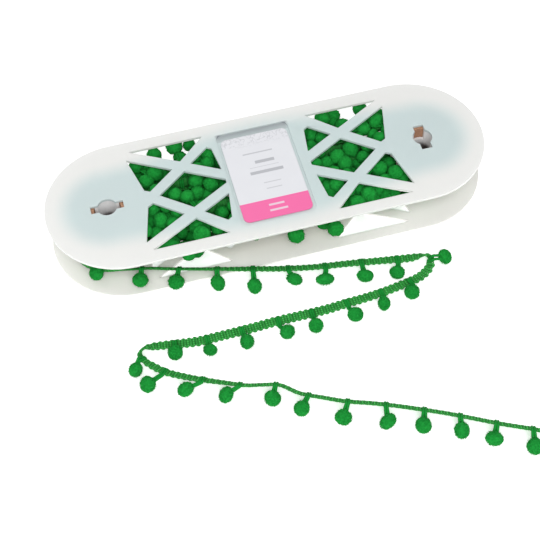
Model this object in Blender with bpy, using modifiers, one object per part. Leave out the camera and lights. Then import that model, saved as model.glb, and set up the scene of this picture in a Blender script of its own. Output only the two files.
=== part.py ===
"""Pom pom trim wound on an oblong plastic reel, with a loose length of it laid out in front.

Metres, +Z up. The origin is on the surface under the middle of the reel and +X runs along the reel. Tables
are in millimetres and degrees, and MM turns them into metres.
"""
import math

import bmesh
import bpy
import numpy as np
from mathutils import Matrix, Vector

MM = 0.001
GAP = 0.3  # between neighbouring pieces, in millimetres as all sizes below are

REEL_RADIUS = 38.0  # of the flanges' round ends
END_X = 75.0  # centres of those ends
REEL_HEIGHT = 26.0
FLANGE_WALL = 1.5
INSIDE_LOW = FLANGE_WALL + GAP
INSIDE_HIGH = REEL_HEIGHT - FLANGE_WALL - GAP

HUB_X = 82.0
HUB_HOLE_RADIUS = 5.0
# A pair of ears widens each hub hole. Columns: side, x of the hub, turn of the ears, their reach, their width
HUBS = (
    ("left", -HUB_X, 0.0, 8.25, 4.5),
    ("right", HUB_X, 90.0, 7.8, 5.5),
)
POST_BORE = 5.3
POST_RADIUS = 6.6
POST_SLOT_FLOOR = 18.0  # the post's side slots run from here to its top
CORE_BORE = POST_RADIUS + GAP
CORE_RADIUS = 9.2

# Windows in one quarter of a flange, x and y of each corner. All but the diamond repeat on the far side of
# the long centre line, and every window repeats at the other end of the reel.
QUARTER_WINDOWS = (
    ("rim_triangle", ((65.4, 31.4), (41.0, 18.2), (26.6, 31.4))),
    ("hub_kite", ((67.4, 26.4), (62.3, 5.0), (59.5, 3.5), (45.8, 14.4))),
    ("panel_triangle", ((36.4, 15.6), (21.9, 7.6), (23.8, 22.4), (26.0, 23.9))),
)
DIAMOND = ((55.6, 0.0), (40.4, -11.8), (21.4, -1.2), (21.4, 1.2), (40.4, 11.8))
RIGHT_SHIFT = (1.2, -0.8)  # how far the right-hand windows lie from the left ones' mirror image
WINDOW_ROUND = 0.25

# The label lies in a shallow recess of the upper flange. Columns: low x, low y, high x, high y, corner radius
RECESS = (-20.2, -29.9, 17.8, 29.8, 3.5)
LABEL = (-18.7, -28.3, 16.3, 25.5, 3.0)
RECESS_DEPTH = 0.7
LABEL_THICKNESS = 0.35

# The winding goes round both cores. Its slack sides bulge in the middle and nearly meet between the cores.
WOUND_END_RADIUS = 21.3
WOUND_BULGE = 10.2  # added to the half width in the middle
WOUND_SLIT = 1.2  # half the gap between the two sides
WOUND_INNER_END = CORE_RADIUS + GAP
WOUND_SLACK = 1.0  # it fills the room between the flanges but for this much under each
WOUND_LOW = INSIDE_LOW + WOUND_SLACK
WOUND_HIGH = INSIDE_HIGH - WOUND_SLACK
SLIT_OPENS_X = 54.0
CORE_LEAVE = 115.0  # degrees: where the inner turns leave the core
SIDE_STATIONS = 11
ARC_STATIONS = 7
TURN_RIDGES = 4  # heaped turns side by side, seen from above
SIDE_RIDGES = 3
RIDGE_DEPTH = 1.3

TAPE_WIDTH = 6.0
TAPE_THICKNESS = 1.1
TAPE_POINTS = 80
# The loose tape's middle line, from where it leaves the winding. Columns: x, y, height of what its lower edge
# lies on, and turn of the pompom edge about the line, from 0 flat with the edge on the right, through 90
# standing with the edge up, to 180 flat with the edge on the left
TAPE_ROUTE = (
    (-101.4, -12.2, 1.8, 88), (-98.4, -16.4, 1.8, 85), (-94.0, -20.0, 1.8, 78), (-89.0, -22.3, 1.8, 70),
    (-83.6, -23.6, 1.8, 60), (-77.9, -24.7, 1.8, 52), (-68.1, -26.7, 1.8, 48), (-57.6, -30.0, 1.8, 47),
    (-46.1, -33.3, 1.8, 46), (-34.6, -36.5, 1.8, 42), (-24.9, -39.1, 1.8, 35), (-16.8, -41.0, 1.6, 31),
    (-8.3, -42.8, 0.9, 28), (2.4, -44.9, 0.2, 27), (14.1, -47.1, 0.1, 25), (26.6, -48.8, 0.1, 21),
    (39.1, -50.8, 0.1, 18), (51.1, -52.7, 0.1, 13), (60.0, -54.0, 0.1, 12), (65.4, -55.0, 0.1, 45),
    (68.0, -57.0, 0.1, 90), (67.8, -60.0, 0.1, 135), (65.4, -63.0, 0.1, 160), (61.3, -65.4, 0.1, 170),
    (56.6, -66.8, 0.1, 172), (49.2, -68.1, 0.1, 172), (39.4, -69.5, 0.1, 172), (29.9, -70.3, 0.1, 174),
    (20.5, -70.7, 0.1, 176), (11.1, -71.3, 0.1, 180), (2.0, -71.4, 0.1, 180), (-7.1, -71.3, 0.1, 180),
    (-16.2, -71.3, 0.1, 180), (-25.4, -71.7, 0.1, 180), (-34.4, -71.9, 0.1, 180), (-43.4, -72.0, 0.1, 180),
    (-52.4, -72.1, 0.1, 180), (-61.1, -71.3, 0.1, 176), (-69.7, -70.1, 0.1, 170), (-76.8, -69.5, 0.1, 158),
    (-81.0, -70.6, 0.1, 118), (-82.6, -73.6, 0.1, 62), (-81.2, -76.8, 0.1, 40), (-78.0, -80.2, 0.1, 28),
    (-72.9, -85.0, 0.1, 28), (-64.2, -90.2, 0.1, 32), (-55.5, -94.6, 0.1, 38), (-46.8, -98.6, 0.1, 44),
    (-38.1, -102.4, 0.1, 48), (-30.8, -104.2, 0.1, 50), (-22.7, -106.6, 0.1, 50), (-14.9, -113.2, 0.1, 49),
    (-5.6, -118.0, 0.1, 48), (4.5, -122.9, 0.1, 47), (15.8, -127.1, 0.1, 47), (26.9, -131.7, 0.1, 47),
    (37.8, -136.7, 0.1, 47), (48.6, -141.9, 0.1, 47), (59.2, -147.5, 0.1, 47), (69.7, -153.1, 0.1, 47),
    (80.3, -158.2, 0.1, 47), (91.0, -163.6, 0.1, 47), (103.5, -169.6, 0.1, 47),
)

STALK_RADIUS = 0.6
STALK_STEPS = 10
# The pompoms on the loose tape. Columns: distance of the stalk along the tape, ball's x and y, height of what
# it lies on, half its length along the stalk, half its width, half its height
POMPOMS = (
    (15.3, -94.4, -25.6, 5.6, 3.5, 3.6, 3.5),
    (33.7, -74.2, -32.9, 1.9, 3.5, 3.9, 3.6),
    (52.3, -57.5, -38.9, 1.9, 3.7, 4.0, 3.6),
    (71.3, -37.4, -43.7, 0.1, 4.0, 3.4, 3.4),
    (89.0, -20.4, -50.4, 0.1, 3.9, 3.5, 3.5),
    (106.7, -0.3, -51.2, 0.1, 2.9, 4.2, 2.6),
    (125.1, 14.2, -55.8, 0.1, 2.9, 4.5, 2.9),
    (143.5, 33.8, -59.3, 0.1, 3.1, 4.2, 3.1),
    (161.6, 49.7, -61.8, 0.2, 3.4, 3.9, 3.3),
    (180.0, 75.4, -59.3, 0.1, 3.0, 3.9, 3.4),
    (197.0, 53.1, -74.6, 0.1, 4.0, 3.7, 3.5),
    (212.9, 37.8, -77.1, 0.1, 4.2, 3.0, 3.2),
    (230.9, 22.6, -79.6, 0.1, 3.6, 3.7, 3.5),
    (249.0, 2.4, -80.5, 0.1, 3.7, 3.6, 3.6),
    (266.0, -11.7, -80.0, 0.1, 3.5, 3.8, 3.4),
    (284.3, -31.8, -80.1, 0.1, 3.8, 3.5, 3.5),
    (301.6, -49.9, -79.5, 0.3, 4.0, 2.7, 2.7),
    (317.5, -66.4, -77.4, 1.1, 4.0, 3.7, 3.5),
    (339.0, -86.4, -80.7, 0.1, 3.6, 3.2, 3.3),
    (351.7, -82.5, -90.0, 0.1, 3.7, 4.0, 3.5),
    (370.5, -65.8, -97.2, 0.1, 4.0, 3.4, 3.3),
    (388.4, -48.3, -105.1, 0.1, 4.0, 3.3, 3.3),
    (405.3, -28.0, -112.8, 0.1, 3.6, 4.0, 3.5),
    (421.7, -16.3, -121.3, 0.1, 3.8, 3.6, 3.5),
    (440.1, 0.9, -130.9, 0.1, 3.6, 4.0, 3.5),
    (457.9, 19.9, -138.2, 0.1, 3.2, 4.4, 3.2),
    (475.6, 34.9, -144.5, 0.1, 3.9, 3.7, 3.6),
    (492.1, 50.9, -151.5, 0.1, 4.0, 3.4, 3.4),
    (508.8, 63.6, -159.2, 0.1, 3.5, 4.1, 3.4),
    (525.3, 79.6, -167.9, 0.1, 3.9, 3.7, 3.6),
    (542.8, 95.6, -175.6, 0.1, 3.7, 3.8, 3.6),
)


def clear_scene():
    for obj in list(bpy.data.objects):
        bpy.data.objects.remove(obj, do_unlink=True)


def new_collection(name):
    collection = bpy.data.collections.new(name)
    bpy.context.scene.collection.children.link(collection)
    return collection


def make_material(name, color, roughness):
    material = bpy.data.materials.new(name)
    material.use_nodes = True
    shader = material.node_tree.nodes["Principled BSDF"]
    shader.inputs["Base Color"].default_value = (*color, 1.0)
    shader.inputs["Roughness"].default_value = roughness
    shader.inputs["Metallic"].default_value = 0.0
    return material


def place(obj, collection, material=None):
    collection.objects.link(obj)
    if material:
        obj.data.materials.append(material)
    return obj


def arc(centre, radius, start, end, steps):
    """Points on a round stretch from start to end degrees, both ends included."""
    turns = np.radians(np.linspace(start, end, steps + 1))
    return [(centre[0] + radius * math.cos(t), centre[1] + radius * math.sin(t)) for t in turns]


def stadium(end_x, radius, steps):
    return arc((end_x, 0), radius, -90, 90, steps) + arc((-end_x, 0), radius, 90, 270, steps)


def round_corner(before, corner, after, radius, steps=2):
    """The corner replaced by a short curve that leaves its two sides smoothly."""
    to_before = (Vector(before) - Vector(corner)).normalized()
    to_after = (Vector(after) - Vector(corner)).normalized()
    reach = radius / math.tan(to_before.angle(to_after) / 2)
    start = Vector(corner) + to_before * reach
    end = Vector(corner) + to_after * reach
    points = []
    for k in range(steps + 1):
        t = k / steps
        point = (1 - t) ** 2 * start + 2 * t * (1 - t) * Vector(corner) + t ** 2 * end
        points.append((point.x, point.y))
    return points


def soft_polygon(corners, radius):
    count = len(corners)
    points = []
    for i, corner in enumerate(corners):
        points += round_corner(corners[i - 1], corner, corners[(i + 1) % count], radius)
    return points


def rounded_box(low_x, low_y, high_x, high_y, radius):
    centres = (
        (high_x - radius, high_y - radius, 0),
        (low_x + radius, high_y - radius, 90),
        (low_x + radius, low_y + radius, 180),
        (high_x - radius, low_y + radius, 270),
    )
    points = []
    for x, y, start in centres:
        points += arc((x, y), radius, start, start + 90, 5)
    return points


def keyhole(hub_x, turn, reach, width):
    """A round hole with an ear on two sides."""
    edge = math.degrees(math.asin(width / 2 / HUB_HOLE_RADIUS))
    half = [(reach, -width / 2), (reach, width / 2)]
    half += arc((0, 0), HUB_HOLE_RADIUS, edge, 180 - edge, 8)
    outline = half + [(-x, -y) for x, y in half]
    spin = Matrix.Rotation(math.radians(turn), 2)
    return [(hub_x + (spin @ Vector(p)).x, (spin @ Vector(p)).y) for p in outline]


def mirrored_windows():
    windows = []
    for side, (shift_x, shift_y) in ((1, RIGHT_SHIFT), (-1, (0.0, 0.0))):
        windows.append([(side * x + shift_x, y + shift_y) for x, y in DIAMOND])
        for _, corners in QUARTER_WINDOWS:
            windows.append([(side * x + shift_x, y + shift_y) for x, y in corners])
            windows.append([(side * x + shift_x, shift_y - y) for x, y in corners])
    return windows


def flat_curve(name, outlines, low, high):
    """A plate between two heights: the first outline is its edge and the others are holes in it."""
    curve = bpy.data.curves.new(name, "CURVE")
    curve.dimensions = "2D"
    curve.fill_mode = "BOTH"
    curve.extrude = (high - low) / 2 * MM
    for outline in outlines:
        spline = curve.splines.new("POLY")
        spline.points.add(len(outline) - 1)
        for point, (x, y) in zip(spline.points, outline):
            point.co = (x * MM, y * MM, 0, 1)
        spline.use_cyclic_u = True
    obj = bpy.data.objects.new(name, curve)
    obj.location.z = (low + high) / 2 * MM
    return obj


def as_mesh(source, collection, material=None):
    """The curve object made a mesh object of the same name, with its caps welded on."""
    bpy.context.scene.collection.objects.link(source)
    bpy.context.view_layer.update()
    graph = bpy.context.evaluated_depsgraph_get()
    mesh = bpy.data.meshes.new_from_object(source.evaluated_get(graph))
    shape = bmesh.new()
    shape.from_mesh(mesh)
    bmesh.ops.remove_doubles(shape, verts=shape.verts, dist=0.00001)
    bmesh.ops.recalc_face_normals(shape, faces=shape.faces)
    shape.to_mesh(mesh)
    shape.free()
    name, place_matrix = source.name, source.matrix_world.copy()
    bpy.data.objects.remove(source, do_unlink=True)
    obj = bpy.data.objects.new(name, mesh)
    obj.matrix_world = place_matrix
    mesh.materials.clear()
    return place(obj, collection, material)


def cut(obj, cutter):
    cutter.hide_render = True
    cutter.display_type = "WIRE"
    boolean = obj.modifiers.new("cut", "BOOLEAN")
    boolean.operation = "DIFFERENCE"
    boolean.solver = "EXACT"
    boolean.object = cutter


def make_flanges(parts, cutters, plastic):
    outlines = [stadium(END_X, REEL_RADIUS, 40)]
    outlines += [soft_polygon(corners, WINDOW_ROUND) for corners in mirrored_windows()]
    outlines += [keyhole(x, turn, reach, width) for _, x, turn, reach, width in HUBS]
    as_mesh(flat_curve("flange_bottom", outlines, 0, FLANGE_WALL), parts, plastic)
    top = flat_curve("flange_top", outlines, REEL_HEIGHT - FLANGE_WALL, REEL_HEIGHT)
    top = as_mesh(top, parts, plastic)
    recess = flat_curve("label_recess", [rounded_box(*RECESS)], REEL_HEIGHT - RECESS_DEPTH, REEL_HEIGHT + 2)
    cut(top, as_mesh(recess, cutters))


def make_tube(name, hub_x, bore, radius, parts, material):
    """A tube standing between the flanges: its wall's cross section turned round the hub's axis."""
    mesh = bpy.data.meshes.new(name)
    section = ((bore, INSIDE_HIGH), (radius, INSIDE_HIGH), (radius, INSIDE_LOW), (bore, INSIDE_LOW))
    edges = [(i, (i + 1) % 4) for i in range(4)]
    mesh.from_pydata([(r * MM, 0, z * MM) for r, z in section], edges, [])
    tube = place(bpy.data.objects.new(name, mesh), parts, material)
    tube.location.x = hub_x * MM
    screw = tube.modifiers.new("turn", "SCREW")
    screw.steps = screw.render_steps = 24
    screw.use_merge_vertices = True
    screw.merge_threshold = 0.00001
    return tube


def make_hubs(parts, cutters, plastic, board):
    for side, hub_x, turn, _, ear_width in HUBS:
        post = make_tube(f"post_{side}", hub_x, POST_BORE, POST_RADIUS, parts, plastic)
        bpy.ops.mesh.primitive_cube_add(size=1)
        slot = bpy.context.object
        slot.name = f"post_slot_{side}"
        slot.scale = (3 * POST_RADIUS * MM, ear_width * MM, REEL_HEIGHT * MM)
        slot.location = (hub_x * MM, 0, (POST_SLOT_FLOOR + REEL_HEIGHT / 2) * MM)
        slot.rotation_euler.z = math.radians(turn)
        for collection in slot.users_collection:
            collection.objects.unlink(slot)
        place(slot, cutters)
        cut(post, slot)
        make_tube(f"core_{side}", hub_x, CORE_BORE, CORE_RADIUS, parts, board)


def make_label(parts, card):
    low = REEL_HEIGHT - RECESS_DEPTH + GAP
    as_mesh(flat_curve("label", [rounded_box(*LABEL)], low, low + LABEL_THICKNESS), parts, card)


def wound_quarter():
    """Inner and outer ends of the winding's cross sections, from the middle of one side round to the end."""
    pairs = []
    leave = math.radians(CORE_LEAVE)
    last_inner_x = HUB_X + WOUND_INNER_END * math.cos(leave)
    for k in range(SIDE_STATIONS):
        share = k / SIDE_STATIONS
        outer_x = HUB_X * share
        outer_y = WOUND_END_RADIUS + WOUND_BULGE * math.cos(math.pi / 2 * share) ** 2
        inner_x = last_inner_x * share
        opening = min(max((inner_x - SLIT_OPENS_X) / (last_inner_x - SLIT_OPENS_X), 0), 1)
        wide = WOUND_INNER_END * math.sin(leave) - WOUND_SLIT
        pairs.append(((inner_x, WOUND_SLIT + wide * opening ** 1.5), (outer_x, outer_y)))
    for k in range(ARC_STATIONS):
        share = k / ARC_STATIONS
        inner = arc((HUB_X, 0), WOUND_INNER_END, CORE_LEAVE * (1 - share), 0, 1)[0]
        outer = arc((HUB_X, 0), WOUND_END_RADIUS, 90 * (1 - share), 0, 1)[0]
        pairs.append((inner, outer))
    end = ((HUB_X + WOUND_INNER_END, 0), (HUB_X + WOUND_END_RADIUS, 0))
    return pairs, end


def wound_loop():
    """Those ends all the way round, as arrays of inner and outer points."""
    quarter, end = wound_quarter()
    first = quarter + [end]
    second = [tuple((x, -y) for x, y in pair) for pair in reversed(quarter[1:])]
    half = np.array(first + second)
    return np.concatenate([half, -half])


def wound_section(swell):
    """One cross section of the heaped turns, as share of the way outwards, sideways bulge, and height."""
    dip = RIDGE_DEPTH * (0.75 + 0.25 * swell)
    across = np.linspace(0, 1, 3 * TURN_RIDGES + 1)
    sag = dip * np.sin(np.pi * TURN_RIDGES * across + 0.9 * swell) ** 2
    rows = [(share, 0.0, WOUND_HIGH - low) for share, low in zip(across, sag)]
    up = np.linspace(0, 1, 3 * SIDE_RIDGES + 1)[1:-1]
    for share in up:
        bulge = dip * np.sin(np.pi * SIDE_RIDGES * share) ** 2
        rows.append((1.0, bulge, WOUND_HIGH + (WOUND_LOW - WOUND_HIGH) * share))
    rows += [(share, 0.0, WOUND_LOW + low) for share, low in zip(across[::-1], sag[::-1])]
    return rows


def make_winding(parts, yarn):
    """The wound trim: cross sections of heaped turns lofted round the two cores and closed on itself."""
    loop = wound_loop()
    verts = []
    for k, (inner, outer) in enumerate(loop):
        outward = (outer - inner) / np.linalg.norm(outer - inner)
        for share, bulge, z in wound_section(math.sin(2.2 * k)):
            x, y = inner + (outer - inner) * share + outward * bulge
            verts.append((x * MM, y * MM, z * MM))
    rings = len(loop)
    ring = len(verts) // rings
    faces = []
    for k in range(rings):
        following = (k + 1) % rings
        for i in range(ring):
            j = (i + 1) % ring
            faces.append((k * ring + i, following * ring + i, following * ring + j, k * ring + j))
    mesh = bpy.data.meshes.new("trim_wound")
    mesh.from_pydata(verts, [], faces)
    shape = bmesh.new()
    shape.from_mesh(mesh)
    bmesh.ops.recalc_face_normals(shape, faces=shape.faces)
    shape.to_mesh(mesh)
    shape.free()
    mesh.shade_smooth()
    place(bpy.data.objects.new("trim_wound", mesh), parts, yarn)


def smooth_route(spots):
    """The route's columns at these places along it, counted in points: a smooth curve through every point."""
    route = np.array(TAPE_ROUTE, float)
    padded = np.vstack([2 * route[0] - route[1], route, 2 * route[-1] - route[-2]])
    index = np.clip(np.floor(spots).astype(int), 0, len(route) - 2)
    t = (spots - index)[:, None]
    a, b, c, d = (padded[index + k] for k in range(4))
    square = (2 * a - 5 * b + 4 * c - d) * t ** 2
    cube = (3 * b - a - 3 * c + d) * t ** 3
    return (2 * b + (c - a) * t + square + cube) / 2


def tape_line(count):
    """The tape's middle line and turn: it stands as high as its lower edge lets it."""
    columns = smooth_route(np.linspace(0, len(TAPE_ROUTE) - 1, count))
    turn = np.radians(columns[:, 3])
    rise = TAPE_WIDTH / 2 * np.abs(np.sin(turn)) + TAPE_THICKNESS / 2 * np.abs(np.cos(turn))
    return np.column_stack([columns[:, :2], columns[:, 2] + rise]), turn


def make_tape(parts, cutters, yarn):
    """A flat cord: a small box section carried along the tape's line and turned as the tape turns."""
    half_w, half_t = TAPE_WIDTH / 2, TAPE_THICKNESS / 2
    section = bpy.data.curves.new("tape_section", "CURVE")
    spline = section.splines.new("POLY")
    spline.points.add(3)
    box = ((-half_w, half_t), (half_w, half_t), (half_w, -half_t), (-half_w, -half_t))
    for point, (x, y) in zip(spline.points, box):
        point.co = (x * MM, y * MM, 0, 1)
    spline.use_cyclic_u = True
    guide = place(bpy.data.objects.new("tape_section", section), cutters)
    guide.hide_render = True
    guide.display_type = "WIRE"

    line, turn = tape_line(TAPE_POINTS)
    curve = bpy.data.curves.new("tape_loose", "CURVE")
    curve.dimensions = "3D"
    curve.twist_mode = "Z_UP"
    curve.bevel_mode = "OBJECT"
    curve.bevel_object = guide
    curve.use_fill_caps = True
    spline = curve.splines.new("POLY")
    spline.points.add(TAPE_POINTS - 1)
    for point, place_mm, tilt in zip(spline.points, line, turn):
        point.co = (*(place_mm * MM), 1)
        point.tilt = -tilt
    place(bpy.data.objects.new("tape_loose", curve), parts, yarn)


def pompom_edge():
    """Distances along the tape, points of its pompom edge there, and which way that edge and its face point."""
    line, turn = tape_line(4001)
    ahead = np.gradient(line, axis=0)
    ahead /= np.linalg.norm(ahead, axis=1)[:, None]
    right = np.cross(ahead, (0, 0, 1.0))
    right /= np.linalg.norm(right, axis=1)[:, None]
    up = np.cross(right, ahead)
    out = right * np.cos(turn)[:, None] + up * np.sin(turn)[:, None]
    along = np.concatenate([[0], np.cumsum(np.linalg.norm(np.diff(line, axis=0), axis=1))])
    return along, line + TAPE_WIDTH / 2 * out, out, np.cross(out, ahead)


def stalk_start(axis, out, face):
    """How far from the tape's edge a stalk along this axis begins, to stay a gap clear of the tape."""
    slope = max(abs(axis.dot(face)), 0.01)
    past_face = (GAP + TAPE_THICKNESS / 2 + STALK_RADIUS * math.sqrt(1 - slope ** 2)) / slope
    lean = axis.dot(out)
    past_edge = (GAP + STALK_RADIUS * math.sqrt(1 - lean ** 2)) / lean if lean > 0.01 else past_face
    return min(past_edge, past_face)


def make_pompom(name, root, out, face, ball, half_sizes, parts, yarn):
    """A stalk and its ball, turned about the stalk's line from just off the tape to the ball's far side."""
    half_long, half_wide, half_high = half_sizes
    axis = ball - root
    reach = axis.length
    along = axis.normalized()
    start = min(stalk_start(along, out, face), reach - half_long - GAP / 2)
    neck = math.asin(STALK_RADIUS / half_wide)
    profile = [(0.0, start), (STALK_RADIUS, start)]
    for angle in np.linspace(neck, math.pi, 7):
        profile.append((half_wide * math.sin(angle), reach - half_long * math.cos(angle)))
    profile[-1] = (0.0, reach + half_long)
    profile.reverse()
    mesh = bpy.data.meshes.new(name)
    edges = [(i, i + 1) for i in range(len(profile) - 1)]
    mesh.from_pydata([(r * MM, 0, z * MM) for r, z in profile], edges, [])
    pompom = place(bpy.data.objects.new(name, mesh), parts, yarn)
    screw = pompom.modifiers.new("turn", "SCREW")
    screw.steps = screw.render_steps = STALK_STEPS
    screw.use_merge_vertices = True
    screw.merge_threshold = 0.00001
    screw.use_smooth_shade = True
    side = along.cross(Vector((0, 0, 1))).normalized()
    up = side.cross(along)
    frame = Matrix((side, up * half_high / half_wide, along)).transposed()
    pompom.matrix_world = Matrix.Translation(root * MM) @ frame.to_4x4()


def make_pompoms(parts, yarn):
    along, edge, out, face = pompom_edge()
    for k, (distance, x, y, floor, *half_sizes) in enumerate(POMPOMS):
        spot = np.searchsorted(along, distance)
        root, outward, facing = (Vector(rows[spot]) for rows in (edge, out, face))
        ball = Vector((x, y, floor + half_sizes[2]))
        make_pompom(f"pompom_{k + 1:02d}", root, outward, facing, ball, half_sizes, parts, yarn)


def main():
    clear_scene()
    parts = new_collection("pom_pom_trim")
    cutters = new_collection("cutters")
    plastic = make_material("reel_plastic", (0.72, 0.75, 0.75), 0.35)
    board = make_material("core_board", (0.36, 0.23, 0.14), 0.9)
    card = make_material("label_card", (0.82, 0.82, 0.84), 0.45)
    tape_yarn = make_material("tape_yarn", (0.01, 0.19, 0.04), 0.8)
    pompom_yarn = make_material("pompom_yarn", (0.01, 0.26, 0.05), 0.95)
    make_flanges(parts, cutters, plastic)
    make_hubs(parts, cutters, plastic, board)
    make_label(parts, card)
    make_winding(parts, pompom_yarn)
    make_tape(parts, cutters, tape_yarn)
    make_pompoms(parts, pompom_yarn)


main()
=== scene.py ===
# %% [markdown]
# # Pom pom trim on an oblong reel
#
# A plastic reel of two lattice plates holds a long pom pom trim: a narrow gimp braid with a yarn ball hanging
# from a looped stalk every couple of centimetres. The last half metre lies in front of the reel in three rows.
# The solid model gives every place and size. This lesson makes the surfaces: the braid from real yarns, the
# balls from tufts, the heap of turns inside the reel, and a finish for each material.

# %% Load the solid model
import math

import bmesh
import bpy
import numpy as np
from mathutils import Matrix


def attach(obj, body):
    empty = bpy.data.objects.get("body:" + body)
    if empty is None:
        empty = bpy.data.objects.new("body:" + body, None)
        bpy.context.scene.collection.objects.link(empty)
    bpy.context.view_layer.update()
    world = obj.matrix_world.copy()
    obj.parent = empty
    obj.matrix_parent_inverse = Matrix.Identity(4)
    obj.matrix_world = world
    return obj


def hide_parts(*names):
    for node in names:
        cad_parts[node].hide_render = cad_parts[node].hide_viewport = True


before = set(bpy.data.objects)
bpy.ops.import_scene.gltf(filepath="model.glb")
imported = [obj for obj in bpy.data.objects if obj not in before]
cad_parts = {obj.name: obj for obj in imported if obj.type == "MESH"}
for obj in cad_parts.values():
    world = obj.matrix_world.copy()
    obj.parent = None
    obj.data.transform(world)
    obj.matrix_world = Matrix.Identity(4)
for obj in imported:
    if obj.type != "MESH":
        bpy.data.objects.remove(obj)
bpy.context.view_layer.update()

MM = 0.001


def new_object(name, data):
    made = bpy.data.objects.new(name, data)
    bpy.context.scene.collection.objects.link(made)
    return made


print("solid pieces:", len(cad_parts))

# %% [markdown]
# ## The camera
#
# The picture was taken from in front and above, about 60 cm away. The camera is placed first, because a few
# balls inside the reel are set where the picture shows them: a ray from the camera through a spot in the
# picture is followed down to the height at which the ball lies. Every other place is given in millimetres.

# %% Camera
LENS = 78.726
SENSOR = 36.0
PICTURE_SIDE = 540
CAMERA_AT = np.array((-83.704, -360.154, 492.954))
LOOKS_AT = np.array((-10.203, -41.080, 0.0))
CAMERA_ROLL = math.radians(-2.303)


def unit(vectors):
    """Each vector divided by its own length."""
    return vectors / np.linalg.norm(vectors, axis=-1, keepdims=True)


def camera_axes():
    """Right, up and forward: forward points at the target, and the other two are rolled about it."""
    forward = unit(LOOKS_AT - CAMERA_AT)
    right = unit(np.cross(forward, (0, 0, 1)))
    up = np.cross(right, forward)
    cos, sin = math.cos(CAMERA_ROLL), math.sin(CAMERA_ROLL)
    return right * cos + up * sin, up * cos - right * sin, forward


def seen_at(across, down, height):
    """Where the rays through these spots of the picture meet these heights, in millimetres."""
    right, up, forward = camera_axes()
    focal = LENS / SENSOR * PICTURE_SIDE
    sideways = (np.asarray(across) - PICTURE_SIDE / 2) / focal
    upwards = (PICTURE_SIDE / 2 - np.asarray(down)) / focal
    rays = forward + sideways[:, None] * right + upwards[:, None] * up
    return CAMERA_AT + rays * ((np.asarray(height) - CAMERA_AT[2]) / rays[:, 2])[:, None]


def make_camera():
    right, up, forward = camera_axes()
    lens = bpy.data.cameras.new("camera")
    lens.lens = LENS
    lens.sensor_width = SENSOR
    lens.clip_end = 10
    camera = new_object("camera", lens)
    turn = Matrix(np.column_stack([right, up, -forward]).tolist()).to_4x4()
    camera.matrix_world = Matrix.Translation(CAMERA_AT * MM) @ turn
    bpy.context.scene.camera = camera
    return camera


camera = make_camera()
print("camera at", [round(v, 3) for v in camera.location])

# %% [markdown]
# ## A small language for finishes
#
# A finish is a tree of shader nodes. Written as node calls it is hard to read, so one small class wraps a
# socket: sums and products of wrapped sockets add their Math nodes, and one method adds any other node.

# %% Sockets that can be reckoned with
class Socket:
    """A node's output. Sums, products and powers of it add the Math nodes that work them out."""

    def __init__(self, tree, socket):
        self.tree = tree
        self.socket = socket

    def node(self, kind, settings=(), values=(), output=0):
        """Adds a node of this kind: its settings first, then a number or a link for each named input."""
        made = self.tree.nodes.new(kind)
        for name, value in dict(settings).items():
            setattr(made, name, value)
        for key, value in dict(values).items():
            if isinstance(value, Socket):
                self.tree.links.new(value.socket, made.inputs[key])
            else:
                made.inputs[key].default_value = value
        return Socket(self.tree, made.outputs[output])

    def math(self, operation, *values):
        return self.node("ShaderNodeMath", {"operation": operation}, dict(enumerate(values)))

    def __add__(self, other):
        return self.math("ADD", self, other)

    __radd__ = __add__

    def __sub__(self, other):
        return self.math("SUBTRACT", self, other)

    def __rsub__(self, other):
        return self.math("SUBTRACT", other, self)

    def __mul__(self, other):
        return self.math("MULTIPLY", self, other)

    __rmul__ = __mul__

    def __truediv__(self, other):
        return self.math("DIVIDE", self, other)

    def __pow__(self, other):
        return self.math("POWER", self, other)

    def ramp(self, start, end):
        """0 below start, 1 above end, and a smooth rise between; start may be the larger of the two."""
        low, high = min(start, end), max(start, end)
        values = {0: self, 1: low, 2: high}
        rise = self.node("ShaderNodeMapRange", {"interpolation_type": "SMOOTHSTEP"}, values)
        return rise if start < end else 1 - rise

    def between(self, low, high, soft=0.15):
        """1 from low to high, 0 outside, with a narrow soft edge."""
        return self.ramp(low - soft, low + soft) * self.ramp(high + soft, high - soft)

    def mix(self, first, second):
        """The first colour where this is 0, the second where it is 1."""
        values = {0: self, 6: first, 7: second}
        return self.node("ShaderNodeMix", {"data_type": "RGBA"}, values, output=2)


def linear(red, green, blue):
    """A colour seen on a screen, 0 to 255, as the light it stands for."""
    seen = np.array((red, green, blue)) / 255
    light = np.where(seen <= 0.04045, seen / 12.92, ((seen + 0.055) / 1.055) ** 2.4)
    return (*(float(v) for v in light), 1.0)


print("white is", linear(255, 255, 255))

# %% [markdown]
# Every finish starts from one shader and reads the place on the piece in millimetres, so that the size of a
# lump or a line is a real size, and no pattern slides when the piece is seen from another side.

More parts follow.
